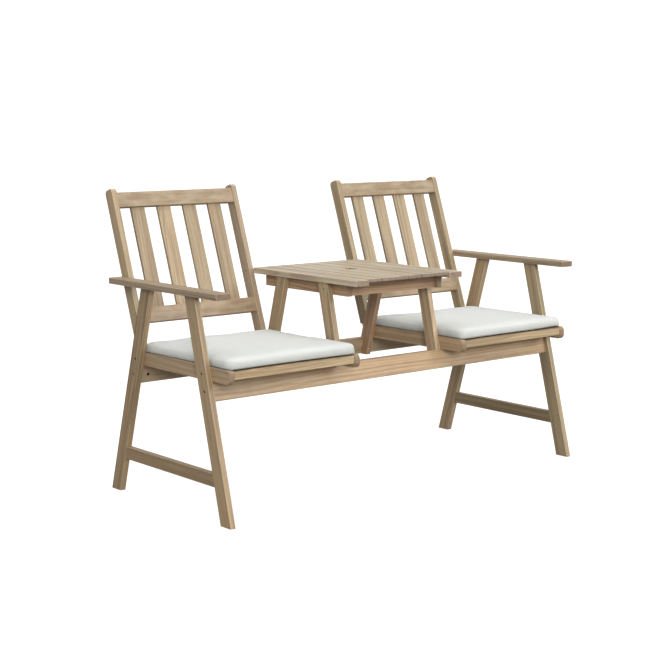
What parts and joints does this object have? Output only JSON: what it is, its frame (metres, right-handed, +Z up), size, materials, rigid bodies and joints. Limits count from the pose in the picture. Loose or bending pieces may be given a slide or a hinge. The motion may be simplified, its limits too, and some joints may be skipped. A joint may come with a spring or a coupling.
{
  "type": "companion seat bench",
  "caption": "Slatted wooden garden chairs joined by long rails, with a small slatted table between them and loose boxed seat cushions.",
  "frame": {"origin": "on the floor, below the middle of the whole bench's box", "axes": "+X to the right seen from the front, +Y to the back, +Z up"},
  "size_m": [1.42, 0.657, 0.8967],
  "materials": {
    "timber": "washed light brown hardwood, matt oiled",
    "cushion_cloth": "off-white woven cloth",
    "steel": "zinc plated, sunk hex socket heads"
  },
  "bodies": {
    "bench_frame": {"back_post_bolts": "steel", "barrel_nuts": "steel", "front_rail": "timber", "left_armrest": "timber", "left_back_bottom_rail": "timber", "left_back_inner_post": "timber", "left_back_outer_post": "timber", "left_back_slat_1": "timber", "left_back_slat_2": "timber", "left_back_slat_3": "timber", "left_back_slat_4": "timber", "left_back_top_rail": "timber", "left_front_leg": "timber", "left_low_stretcher": "timber", "left_rear_leg": "timber", "left_seat_front_bar": "timber", "left_seat_inner_rail": "timber", "left_seat_outer_rail": "timber", "left_seat_rear_bar": "timber", "left_seat_slats": "timber", "left_table_batten": "timber", "left_table_front_leg": "timber", "left_table_outer_board": "timber", "left_table_rear_leg": "timber", "leg_bolts": "steel", "rear_rail": "timber", "right_armrest": "timber", "right_back_bottom_rail": "timber", "right_back_inner_post": "timber", "right_back_outer_post": "timber", "right_back_slat_1": "timber", "right_back_slat_2": "timber", "right_back_slat_3": "timber", "right_back_slat_4": "timber", "right_back_top_rail": "timber", "right_front_leg": "timber", "right_low_stretcher": "timber", "right_rear_leg": "timber", "right_seat_front_bar": "timber", "right_seat_inner_rail": "timber", "right_seat_outer_rail": "timber", "right_seat_rear_bar": "timber", "right_seat_slats": "timber", "right_table_batten": "timber", "right_table_front_leg": "timber", "right_table_outer_board": "timber", "right_table_rear_leg": "timber", "table_front_apron": "timber", "table_inner_board_1": "timber", "table_inner_board_2": "timber", "table_inner_board_3": "timber", "table_inner_board_4": "timber", "table_inner_board_5": "timber", "table_inner_board_6": "timber", "table_leg_bolts": "steel", "table_rear_apron": "timber"},
    "left_cushion": {"left_cushion": "cushion_cloth"},
    "right_cushion": {"right_cushion": "cushion_cloth"}
  },
  "joints": [
    {"name": "left_cushion_lift", "type": "slide", "parent": "bench_frame", "child": "left_cushion", "axis": [0, 0, 1], "range_m": [0, 0.12]},
    {"name": "right_cushion_lift", "type": "slide", "parent": "bench_frame", "child": "right_cushion", "axis": [0, 0, 1], "range_m": [0, 0.12]}
  ]
}
